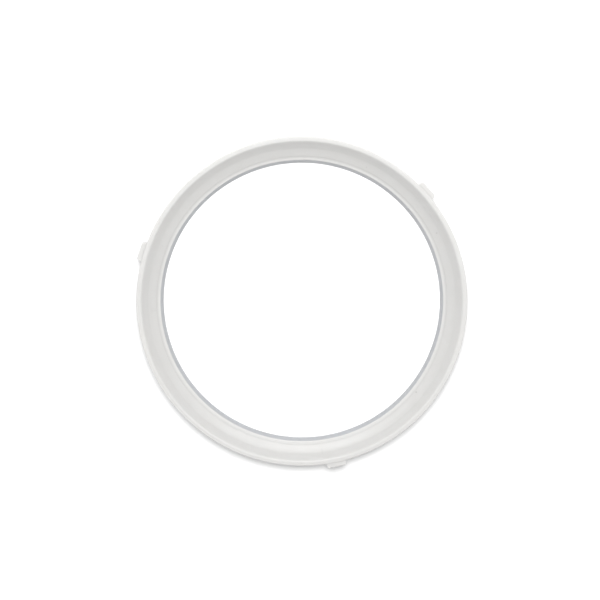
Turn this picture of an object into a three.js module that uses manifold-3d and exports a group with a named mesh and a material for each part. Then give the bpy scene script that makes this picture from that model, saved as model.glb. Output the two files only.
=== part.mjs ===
// The sealing ring of a stovetop pressure cooker: one piece of moulded silicone with three lugs.
// Millimetres, +Z up. The ring's axis is Z and its foot stands on Z = 0.
import * as THREE from 'three';
import { mergeVertices } from 'three/addons/utils/BufferGeometryUtils.js';
import Module from 'manifold-3d';

const wasm = await Module();
wasm.setup();

// Driving dimensions, in millimetres and degrees.
const outerDiameter = 240;
const ringHeight = 12.5;
const sectionWidth = 19.2; // outer wall to the innermost edge of the skirt's foot
const rimWidth = 3.6; // outer wall to the edge where the flank starts
const creasePlace = 9.2; // outer wall to the crease between flank and cone
const flankHollow = 0.2; // how far the flank's middle is pressed in
const coneSlope = 20;
const lipHeight = 5; // foot plane to the lip's flat top
const lipWidth = 1.3;
const lipFall = 0.1; // the flat top falls a little to the inside
const groovePlace = 2.3; // lip's inner edge to the middle of the groove beside it
const grooveWidth = 1.4;
const grooveDepth = 0.16;
const skirtLean = 2.3; // how far the skirt's foot stands inside the lip
const skirtThickness = 2.1;
const wallThickness = 2.6;
const webThickness = 2.3; // the wall under the cone and the flank
const rimRounding = 0.8;
const flankRounding = 0.9; // at the flank's upper edge
const creaseRounding = 2.6;
const lipRounding = 0.6;
const footRounding = 0.4;
const lugCount = 3;
const firstLugAngle = 42.1;
const lugReach = 3.1; // how far a lug stands out from the outer wall
const lugBaseWidth = 14.6;
const lugTipWidth = 13;
const lugThickness = 5;
const lugDrop = 0.3; // rim to the lug's top face
const lugCornerRadius = 1.2;
const lugRoot = 1.3; // how deep a lug starts inside the outer wall
const ringSegments = 120;

const outerRadius = outerDiameter / 2;
const wallInside = outerRadius - wallThickness;
const footInner = outerRadius - sectionWidth;
const skirtInside = footInner + skirtThickness;
const lipRadius = footInner + skirtLean;
const slope = THREE.MathUtils.degToRad(coneSlope);
const rise = Math.tan(slope);

function point(radius, height) {
  return new THREE.Vector2(radius, height);
}

// The cone's height at a radius. It starts at the outer edge of the lip's flat top.
function onCone(radius, below = 0) {
  return point(radius, lipHeight + (radius - lipRadius - lipWidth) * rise - below);
}

// The visible side of the section, from the outer wall's foot over the rim to the skirt's foot.
// Each corner is a place, how far its rounding reaches along both edges, and its steps.
function upperCorners(crease, rimEdge) {
  const groove = lipRadius + groovePlace;
  const flank = rimEdge.clone().sub(crease);
  const inward = point(flank.y, -flank.x).setLength(2 * flankHollow);
  const flankMiddle = crease.clone().addScaledVector(flank, 0.5).add(inward);
  return [
    [point(outerRadius, 0), footRounding, 2],
    [point(outerRadius, ringHeight), rimRounding, 4],
    [rimEdge, flankRounding, 3],
    [flankMiddle, flankRounding * 2, 3],
    [crease, creaseRounding, 5],
    [onCone(groove + grooveWidth / 2), 0, 0],
    [onCone(groove, grooveDepth), 0, 0],
    [onCone(groove - grooveWidth / 2), 0, 0],
    [point(lipRadius + lipWidth, lipHeight), 0, 0],
    [point(lipRadius, lipHeight - lipFall), lipRounding, 4],
    [point(footInner, 0), footRounding, 2],
  ];
}

// The hidden side: the channel for the pan's rim, a web's thickness under the cone and the flank.
function channelCorners(crease, rimEdge) {
  const flankSlope = rimEdge.clone().sub(crease).angle();
  const halfTurn = (flankSlope - slope) / 2;
  const down = slope + halfTurn;
  const underCrease = point(Math.sin(down), -Math.cos(down));
  const ceiling = crease.clone().addScaledVector(underCrease, webThickness / Math.cos(halfTurn));
  const ceilingAtWall = ceiling.y + (wallInside - ceiling.x) * Math.tan(flankSlope);
  const lean = skirtLean / lipHeight;
  const ceilingAtSkirt = onCone(skirtInside, webThickness / Math.cos(slope)).y;
  const skirtTop = ceilingAtSkirt / (1 - lean * rise);
  return [
    [point(skirtInside, 0), 0, 0],
    [point(skirtInside + lean * skirtTop, skirtTop), lipRounding, 1],
    [ceiling, creaseRounding / 2, 3],
    [point(wallInside, ceilingAtWall), flankRounding, 2],
    [point(wallInside, 0), 0, 0],
  ];
}

// Rounds each corner. A rounding never reaches past 45 % of the edges beside it.
function rounded(corners) {
  return corners.flatMap(([place, reach, steps], i) => {
    if (steps === 0) {
      return [place];
    }
    const back = corners.at(i - 1)[0].clone().sub(place);
    const ahead = corners[(i + 1) % corners.length][0].clone().sub(place);
    const most = Math.min(reach, 0.45 * back.length(), 0.45 * ahead.length());
    const from = place.clone().add(back.setLength(most));
    const to = place.clone().add(ahead.setLength(most));
    return new THREE.QuadraticBezierCurve(from, place, to).getPoints(steps);
  });
}

function ringSection() {
  const crease = onCone(outerRadius - creasePlace);
  const rimEdge = point(outerRadius - rimWidth, ringHeight);
  const corners = [...upperCorners(crease, rimEdge), ...channelCorners(crease, rimEdge)];
  const points = rounded(corners);
  points.push(points[0].clone());
  return points;
}

function ringBody() {
  const lathe = new THREE.LatheGeometry(ringSection(), ringSegments);
  lathe.rotateX(Math.PI / 2);
  return solid(lathe);
}

// One lug, a tapered block with round outer corners, drawn on +X and turned to its place.
function lugBody(angle) {
  const root = outerRadius - lugRoot;
  const tip = outerRadius + lugReach;
  const taper = (lugBaseWidth - lugTipWidth) / 2 / lugReach;
  const rootHalf = lugBaseWidth / 2 + lugRoot * taper;
  const tipHalf = lugTipWidth / 2;
  const back = lugCornerRadius;
  const outline = new THREE.Shape();
  outline.moveTo(root, -rootHalf);
  outline.lineTo(tip - back, -tipHalf - back * taper);
  outline.quadraticCurveTo(tip, -tipHalf, tip, -tipHalf + back);
  outline.lineTo(tip, tipHalf - back);
  outline.quadraticCurveTo(tip, tipHalf, tip - back, tipHalf + back * taper);
  outline.lineTo(root, rootHalf);
  outline.closePath();
  const lug = new THREE.ExtrudeGeometry(outline, {
    depth: lugThickness,
    bevelEnabled: false,
    curveSegments: 5,
  });
  lug.translate(0, 0, ringHeight - lugDrop - lugThickness);
  lug.rotateZ(THREE.MathUtils.degToRad(angle));
  return solid(lug);
}

// Turns a closed three.js geometry into a solid for the joins.
function solid(geometry) {
  geometry.deleteAttribute('normal');
  geometry.deleteAttribute('uv');
  const merged = mergeVertices(geometry);
  const mesh = new wasm.Mesh({
    numProp: 3,
    vertProperties: merged.attributes.position.array,
    triVerts: Uint32Array.from(merged.index.array),
  });
  return new wasm.Manifold(mesh);
}

function geometryOf(body) {
  const mesh = body.getMesh();
  const geometry = new THREE.BufferGeometry();
  geometry.setAttribute('position', new THREE.BufferAttribute(mesh.vertProperties, 3));
  geometry.setIndex(new THREE.BufferAttribute(mesh.triVerts, 1));
  geometry.computeVertexNormals();
  return geometry;
}

function sealingRing() {
  let body = ringBody();
  for (let i = 0; i < lugCount; i += 1) {
    body = body.add(lugBody(firstLugAngle + (i * 360) / lugCount));
  }
  const silicone = new THREE.MeshStandardMaterial({
    color: '#ebe9e6',
    roughness: 0.45,
    metalness: 0,
  });
  const mesh = new THREE.Mesh(geometryOf(body), silicone);
  mesh.name = 'sealing_ring';
  return mesh;
}

const pressureCookerSeal = new THREE.Group();
pressureCookerSeal.add(sealingRing());

export default pressureCookerSeal;
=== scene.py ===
import math

import bmesh
import bpy
from mathutils import Matrix, Vector


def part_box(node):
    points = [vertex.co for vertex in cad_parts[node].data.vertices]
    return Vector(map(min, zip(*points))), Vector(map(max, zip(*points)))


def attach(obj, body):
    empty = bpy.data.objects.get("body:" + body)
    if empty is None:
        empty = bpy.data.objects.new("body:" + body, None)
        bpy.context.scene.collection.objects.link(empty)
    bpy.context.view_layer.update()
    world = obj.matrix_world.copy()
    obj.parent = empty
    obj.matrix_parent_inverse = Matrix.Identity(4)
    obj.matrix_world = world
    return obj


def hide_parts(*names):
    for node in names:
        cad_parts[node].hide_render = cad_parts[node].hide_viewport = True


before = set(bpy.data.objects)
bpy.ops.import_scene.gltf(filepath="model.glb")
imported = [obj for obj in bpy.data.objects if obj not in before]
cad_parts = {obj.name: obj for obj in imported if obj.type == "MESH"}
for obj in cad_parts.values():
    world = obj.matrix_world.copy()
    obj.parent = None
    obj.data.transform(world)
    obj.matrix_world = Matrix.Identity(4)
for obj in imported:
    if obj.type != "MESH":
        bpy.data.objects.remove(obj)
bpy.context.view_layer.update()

# --- Camera ---------------------------------------------------------------------------------
# The ring lies flat and is looked at from almost straight above, from a long way off. The
# camera stands a few degrees towards +Y, so it sees a little of the outer wall on that side.
_, ring_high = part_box("sealing_ring")
outer_radius = ring_high.x
ring_height = ring_high.z
camera_distance = 1.1
camera_lean = math.radians(6.0)
frame_width = 0.43384
camera_aim = Vector((-0.00135, 0.00222, ring_height))

camera_data = bpy.data.cameras.new("camera")
camera_data.sensor_width = 36.0
camera_data.angle = 2 * math.atan(frame_width / 2 / camera_distance)
camera_data.clip_start = 0.01
camera_data.clip_end = 50.0
camera = bpy.data.objects.new("camera", camera_data)
bpy.context.scene.collection.objects.link(camera)
camera.location = camera_aim + camera_distance * Vector((0, math.sin(camera_lean), math.cos(camera_lean)))
camera.rotation_euler = (-camera_lean, 0, 0)
bpy.context.scene.camera = camera

# --- Sealing ring ---------------------------------------------------------------------------
# The lid's sealing ring, one piece of translucent white silicone, pressed in a hot mould.
# Its section is turned round the axis. The rim is flat, a hollow flank falls to a shallow
# cone, and the thin lip at the inside ends in a flat edge with a skirt under it.
rim_width = 0.0036
rim_round = 0.0008
small_round = 0.0004
crease_place = 0.0092
hollow_depth = 0.0002
cone_slope = math.radians(20)
lip_height = 0.0050
lip_flat = 0.0013
lip_fall = 0.0001
groove_place = 0.0023
groove_width = 0.0014
groove_depth = 0.00016
section_width = 0.0192
skirt_lean = 0.0023
skirt_thickness = 0.0021
wall_thickness = 0.0026
web_thickness = 0.0023
parting_height = 0.0072
parting_proud = 0.00012
parting_half = 0.00015
turn_steps = 360


def section_point(radius, height):
    return Vector((radius, 0, height))


foot_inner = outer_radius - section_width
lip_radius = foot_inner + skirt_lean
cone_rise = math.tan(cone_slope)
cone_start = section_point(lip_radius + lip_flat, lip_height)


def on_cone(radius, below=0.0):
    return section_point(radius, cone_start.z + (radius - cone_start.x) * cone_rise - below)


# The hollow flank runs from the crease to the rim, pressed in a little at its middle.
crease = on_cone(outer_radius - crease_place)
rim_edge = section_point(outer_radius - rim_width, ring_height)
flank = rim_edge - crease
into_flank = section_point(flank.z, -flank.x).normalized()
flank_middle = crease + flank / 2 + 2 * hollow_depth * into_flank

# The channel's ceiling keeps the web's thickness under the cone and the flank.
flank_slope = math.atan2(flank.z, flank.x)
half_turn = (flank_slope - cone_slope) / 2
under_crease = section_point(math.sin(cone_slope + half_turn), -math.cos(cone_slope + half_turn))
ceiling_crease = crease + web_thickness / math.cos(half_turn) * under_crease
wall_inside = outer_radius - wall_thickness
wall_radius = outer_radius - parting_proud
ceiling_rise = (wall_inside - ceiling_crease.x) * math.tan(flank_slope)
ceiling_wall = section_point(wall_inside, ceiling_crease.z + ceiling_rise)
lean = skirt_lean / lip_height
skirt_inside = foot_inner + skirt_thickness
ceiling_at_skirt = on_cone(skirt_inside, web_thickness / math.cos(cone_slope)).z
skirt_top = ceiling_at_skirt / (1 - lean * cone_rise)
groove_radius = lip_radius + groove_place

# Each corner of the section: its place, how far its rounding reaches, and the rounding's steps.
corners = [
    (section_point(wall_radius, 0), small_round, 2),
    (section_point(wall_radius, parting_height - parting_half), 0, 0),
    (section_point(outer_radius, parting_height), 0, 0),
    (section_point(wall_radius, parting_height + parting_half), 0, 0),
    (section_point(wall_radius, ring_height), rim_round, 5),
    (rim_edge, 0.0009, 5),
    (flank_middle, 0.0026, 8),
    (crease, 0.0026, 10),
    (on_cone(groove_radius + groove_width / 2), 0.0003, 2),
    (on_cone(groove_radius, groove_depth), 0.0003, 3),
    (on_cone(groove_radius - groove_width / 2), 0.0002, 2),
    (cone_start, 0.0001, 2),
    (section_point(lip_radius, lip_height - lip_fall), 0.0006, 5),
    (section_point(foot_inner, 0), small_round, 3),
    (section_point(skirt_inside, 0), 0.0002, 2),
    (section_point(skirt_inside + lean * skirt_top, skirt_top), 0.0006, 3),
    (ceiling_crease, 0.0016, 4),
    (ceiling_wall, 0.0009, 4),
    (section_point(wall_inside, 0), 0.0002, 2),
]

ring = bmesh.new()
section = [ring.verts.new(place) for place, _, _ in corners]
ring.faces.new(section)
for vertex, (_, rounding, steps) in zip(section, corners):
    if steps:
        bmesh.ops.bevel(
            ring, geom=[vertex], offset=rounding, offset_type="OFFSET", affect="VERTICES",
            segments=steps, profile=0.5, material=-1,
        )
bmesh.ops.delete(ring, geom=list(ring.faces), context="FACES_KEEP_BOUNDARY")

# The turn starts where its steps will fall on the edges of the lugs.
lug_angles = [math.radians(42.1 + 120 * i) for i in range(3)]
step_angle = 2 * math.pi / turn_steps
steps_per_lug = 7
lug_half_angle = steps_per_lug / 2 * step_angle
start_angle = (lug_angles[0] + lug_half_angle) % step_angle
bmesh.ops.rotate(ring, verts=ring.verts, cent=(0, 0, 0), matrix=Matrix.Rotation(start_angle, 3, "Z"))
bmesh.ops.spin(
    ring, geom=list(ring.verts) + list(ring.edges), cent=(0, 0, 0), axis=(0, 0, 1), dvec=(0, 0, 0),
    angle=2 * math.pi, steps=turn_steps, use_merge=True, use_duplicate=False,
)
bmesh.ops.remove_doubles(ring, verts=ring.verts, dist=1e-6)
bmesh.ops.recalc_face_normals(ring, faces=ring.faces)

# The lugs come out of the same mould: the outer wall is drawn out between the parting line
# and the rim's round edge, and narrows a little to a flat tip with soft corners.
lug_reach = 0.0031
lug_tip_width = 0.0130
lug_corner = 0.0012
lug_edge = 0.0004
lug_top = ring_height - 0.0003
lug_bottom = parting_height + 0.0001
lug_root_half = outer_radius * math.sin(lug_half_angle)
lug_search = 0.1
tip_crease = math.radians(45)
edge_crease = math.radians(30)
level_edge = 1e-5
tiny_edge = 2e-6


def angle_from(place, angle):
    return abs(math.remainder(math.atan2(place.y, place.x) - angle, 2 * math.pi))


def near_lug(place, angle, spread, inside):
    return angle_from(place, angle) < spread and place.xy.length > inside


for angle in lug_angles:
    wall = [
        face for face in ring.faces
        if near_lug(face.calc_center_median(), angle, lug_half_angle, outer_radius - 0.0009)
        and lug_bottom < face.calc_center_median().z < lug_top
    ]
    drawn = bmesh.ops.extrude_face_region(ring, geom=wall)["geom"]
    bmesh.ops.delete(ring, geom=wall, context="FACES")
    turn = Matrix.Rotation(angle, 3, "Z")
    for vertex in [part for part in drawn if isinstance(part, bmesh.types.BMVert)]:
        local = turn.inverted() @ vertex.co
        local.x = outer_radius + lug_reach
        local.y *= lug_tip_width / 2 / lug_root_half
        vertex.co = turn @ local
    ring.normal_update()
    tips = [
        edge for edge in ring.edges
        if len(edge.link_faces) == 2 and edge.calc_face_angle() > tip_crease
        and all(near_lug(v.co, angle, lug_search, outer_radius + 0.9 * lug_reach) for v in edge.verts)
        and abs(edge.verts[0].co.z - edge.verts[1].co.z) > level_edge
    ]
    bmesh.ops.bevel(
        ring, geom=tips, offset=lug_corner, offset_type="OFFSET", affect="EDGES", segments=5,
        profile=0.5, material=-1,
    )
    ring.normal_update()
    rims = [
        edge for edge in ring.edges
        if len(edge.link_faces) == 2 and edge.calc_face_angle() > edge_crease
        and all(near_lug(v.co, angle, lug_search, outer_radius - 0.0006) for v in edge.verts)
        and max(v.co.xy.length for v in edge.verts) > outer_radius + 0.0005
    ]
    bmesh.ops.bevel(
        ring, geom=rims, offset=lug_edge, offset_type="OFFSET", affect="EDGES", segments=3,
        profile=0.5, material=-1,
    )

# The lugs' bevels leave a few tiny edges, which are closed up. The faces then all point outward.
bmesh.ops.remove_doubles(ring, verts=ring.verts, dist=tiny_edge)
bmesh.ops.recalc_face_normals(ring, faces=ring.faces)
if ring.calc_volume(signed=True) < 0:
    bmesh.ops.reverse_faces(ring, faces=ring.faces)

ring_mesh = bpy.data.meshes.new("seal_ring")
ring.to_mesh(ring_mesh)
ring.free()
for polygon in ring_mesh.polygons:
    polygon.use_smooth = True
seal = bpy.data.objects.new("seal_ring", ring_mesh)
bpy.context.scene.collection.objects.link(seal)
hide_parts("sealing_ring")
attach(seal, "root")
smoother = seal.modifiers.new("even_flats", "WEIGHTED_NORMAL")
smoother.keep_sharp = False


class Wire:
    """A socket of the material. Arithmetic on it adds the maths nodes."""

    def __init__(self, tree, socket):
        self.tree = tree
        self.socket = socket

    def node(self, kind, settings, values, output=0):
        """Adds any other node: its settings first, then its values and links."""
        added = self.tree.nodes.new(kind)
        for name, setting in settings.items():
            setattr(added, name, setting)
        for name, value in values.items():
            if isinstance(value, Wire):
                self.tree.links.new(value.socket, added.inputs[name])
            else:
                added.inputs[name].default_value = value
        return Wire(self.tree, added.outputs[output])

    def maths(self, operation, first, second):
        return self.node("ShaderNodeMath", {"operation": operation}, {0: first, 1: second})

    def __add__(self, other):
        return self.maths("ADD", self, other)

    def __sub__(self, other):
        return self.maths("SUBTRACT", self, other)

    def __rsub__(self, other):
        return self.maths("SUBTRACT", other, self)

    def __mul__(self, other):
        return self.maths("MULTIPLY", self, other)

    def __truediv__(self, other):
        return self.maths("DIVIDE", self, other)

    def __pow__(self, other):
        return self.maths("POWER", self, other)

    __radd__ = __add__
    __rmul__ = __mul__


silicone = bpy.data.materials.new("silicone")
silicone.use_nodes = True
tree = silicone.node_tree
shader = tree.nodes["Principled BSDF"]
place = Wire(tree, tree.nodes.new("ShaderNodeTexCoord").outputs["Object"])
place_x = place.node("ShaderNodeSeparateXYZ", {}, {0: place}, "X")
place_y = place.node("ShaderNodeSeparateXYZ", {}, {0: place}, "Y")
radius = (place_x * place_x + place_y * place_y) ** 0.5


def between(value, start, end):
    """A soft step from 0 at the start to 1 at the end."""
    return value.node(
        "ShaderNodeMapRange", {"interpolation_type": "SMOOTHSTEP"},
        {"Value": value, "From Min": start, "From Max": end, "To Min": 0.0, "To Max": 1.0},
    )


def cloud(vector, scale, detail):
    """Noise between -1 and 1."""
    noise = vector.node(
        "ShaderNodeTexNoise", {},
        {"Vector": vector, "Scale": scale, "Detail": detail, "Roughness": 0.55},
    )
    return noise * 2 - 1


# Painted shade: the skirt is painted dim, standing in for the shade on its steep face under the lip, and
# a little blue because it is thin. The groove beside the lip is painted dim too, as shade in the groove.
skirt_painted_shade = 1 - between(radius, lip_radius - 0.0005, lip_radius + 0.0002)
# The groove mask carries painted shade: it darkens the colour in and beside the groove, where shade
# falls.
past_groove = radius - groove_radius
groove_away = past_groove.node("ShaderNodeMath", {"operation": "ABSOLUTE"}, {0: past_groove})
groove_painted_shade = 1 - between(groove_away, 0.0001, 0.0009)

# Painted light: the rim and the lip are painted whiter than the web between them, standing in for the
# light their thicker silicone gives back; along the lip's flat edge this is a painted highlight.
rim_painted_light = between(radius, rim_edge.x - 0.0002, rim_edge.x + 0.0010)
lip_painted_highlight = (1 - skirt_painted_shade) * (1 - between(radius, cone_start.x - 0.0002, cone_start.x + 0.0006))

# Silicone flows outward in the mould and leaves faint streaks along the section. The mould
# itself was turned, which leaves faint uneven lines round the ring.
flow_place = place.node(
    "ShaderNodeCombineXYZ", {},
    {"X": place_x / radius * 0.9, "Y": place_y / radius * 0.9, "Z": radius * 6.0},
)
streaks = cloud(flow_place, 40.0, 2.0)
turned_lines = cloud(place.node("ShaderNodeCombineXYZ", {}, {"X": radius}), 1100.0, 2.0)
mottle = cloud(place, 55.0, 3.0)
grain = cloud(place, 700.0, 2.0)
warmth = cloud(place, 38.0, 1.0) * 0.006

# Painted shade and dirt: a dull line round the outer edge is painted shade on the rim's round edge; grit
# pressed into the skin and a few radial rubs are dirt.
edge_painted_shade = between(radius, outer_radius - 0.0008, outer_radius - 0.0002)
edge_painted_shade = edge_painted_shade * (1 - between(radius, outer_radius + 0.0002, outer_radius + 0.0007))
# This sum holds painted shade (the edge line and the groove) as well as real grit and rubs.
dirt_and_painted_shade = edge_painted_shade * 0.06 + groove_painted_shade * 0.03
for bearing, away, size, depth in [
    (27.3, 0.1098, 0.0008, 0.16), (64.5, 0.1083, 0.0007, 0.10), (321.6, 0.1068, 0.0009, 0.20),
    (158.0, 0.1090, 0.0006, 0.08), (245.0, 0.1120, 0.0005, 0.08),
]:
    spot = Matrix.Rotation(math.radians(bearing), 3, "Z") @ on_cone(away)
    far = place.node("ShaderNodeVectorMath", {"operation": "DISTANCE"}, {0: place, 1: spot}, "Value")
    dirt_and_painted_shade = dirt_and_painted_shade + (1 - between(far, 0.4 * size, size)) * depth
for bearing, start, end, depth in [
    (277.7, 0.1083, 0.1134, 0.035), (183.3, 0.1054, 0.1105, 0.025), (175.5, 0.1060, 0.1100, 0.020),
]:
    turn = Matrix.Rotation(math.radians(bearing), 3, "Z")
    outward = turn @ Vector((1, 0, 0))
    sideways = turn @ Vector((0, 1, 0))
    measure = {"operation": "DOT_PRODUCT"}
    along = place.node("ShaderNodeVectorMath", measure, {0: place, 1: outward}, "Value")
    across = place.node("ShaderNodeVectorMath", measure, {0: place, 1: sideways}, "Value")
    rub = between(along, start, start + 0.001) * (1 - between(along, end - 0.001, end))
    dirt_and_painted_shade = dirt_and_painted_shade + rub * (1 - between(across * across, 0.0, 0.0000010)) * depth

# Painted light and shade are in this level: the rim and lip lighter, the outer edge line and the groove
# darker.
level = 1 + rim_painted_light * 0.08 + lip_painted_highlight * 0.05 + mottle * 0.018 + streaks * 0.010 + grain * 0.006
level = (level + turned_lines * 0.004) * (1 - dirt_and_painted_shade)
# Painted shade: the second colour is the skirt's, darker than the rest to stand in for shade, and a
# little blue.
plain = place.node(
    "ShaderNodeMix", {"data_type": "RGBA"},
    {0: skirt_painted_shade, 6: (0.562, 0.558, 0.548, 1), 7: (0.405, 0.414, 0.430, 1)}, 2,
)
tint = place.node(
    "ShaderNodeCombineXYZ", {}, {"X": level * (1 + warmth), "Y": level, "Z": level * (1 - warmth)},
)
colour = place.node("ShaderNodeVectorMath", {"operation": "MULTIPLY"}, {0: plain, 1: tint})
tree.links.new(colour.socket, shader.inputs["Base Color"])

smudge = cloud(place, 90.0, 2.0)
gloss = 0.42 + rim_painted_light * 0.08 + smudge * 0.05 + grain * 0.03 + dirt_and_painted_shade * 0.5
tree.links.new(gloss.socket, shader.inputs["Roughness"])

waves = cloud(place, 160.0, 1.0) * 0.00003 + cloud(place, 2200.0, 2.0) * 0.000003
waves = waves + turned_lines * 0.000002
skin = place.node("ShaderNodeBump", {}, {"Strength": 1.0, "Distance": 1.0, "Height": waves})
tree.links.new(skin.socket, shader.inputs["Normal"])

shader.inputs["Subsurface Weight"].default_value = 1.0
shader.inputs["Subsurface Radius"].default_value = (1.0, 1.0, 1.0)
shader.inputs["Subsurface Scale"].default_value = 0.002
ring_mesh.materials.append(silicone)

# --- Table and light ------------------------------------------------------------------------
# A plain white painted table, a large soft lamp high up and a little towards +Y, and a pale
# room that lights the ring evenly from all round.
table_size = 6.0
table = bmesh.new()
bmesh.ops.create_grid(table, x_segments=1, y_segments=1, size=table_size / 2)
table_mesh = bpy.data.meshes.new("table")
table.to_mesh(table_mesh)
table.free()
table_object = bpy.data.objects.new("table", table_mesh)
bpy.context.scene.collection.objects.link(table_object)
table_paint = bpy.data.materials.new("table_paint")
table_paint.use_nodes = True
table_tree = table_paint.node_tree
table_shader = table_tree.nodes["Principled BSDF"]
table_place = Wire(table_tree, table_tree.nodes.new("ShaderNodeTexCoord").outputs["Object"])
dapple = cloud(table_place, 30.0, 3.0)
white = 0.93 + dapple * 0.004
paint = white.node("ShaderNodeCombineXYZ", {}, {"X": white, "Y": white, "Z": white})
table_tree.links.new(paint.socket, table_shader.inputs["Base Color"])
sheen = 0.8 + dapple * 0.05
table_tree.links.new(sheen.socket, table_shader.inputs["Roughness"])
table_mesh.materials.append(table_paint)

lamp_tilt = math.radians(22)
lamp_distance = 1.6
lamp_data = bpy.data.lights.new("soft_lamp", "AREA")
lamp_data.shape = "DISK"
lamp_data.size = 0.9
lamp_data.energy = 23
lamp = bpy.data.objects.new("soft_lamp", lamp_data)
bpy.context.scene.collection.objects.link(lamp)
lamp.location = lamp_distance * Vector((0, math.sin(lamp_tilt), math.cos(lamp_tilt)))
lamp.rotation_euler = (-lamp_tilt, 0, 0)

room = bpy.data.worlds.new("room")
bpy.context.scene.world = room
room.use_nodes = True
room.node_tree.nodes["Background"].inputs["Color"].default_value = (1, 1, 1, 1)
room.node_tree.nodes["Background"].inputs["Strength"].default_value = 0.62

bpy.context.scene.view_settings.view_transform = "Standard"
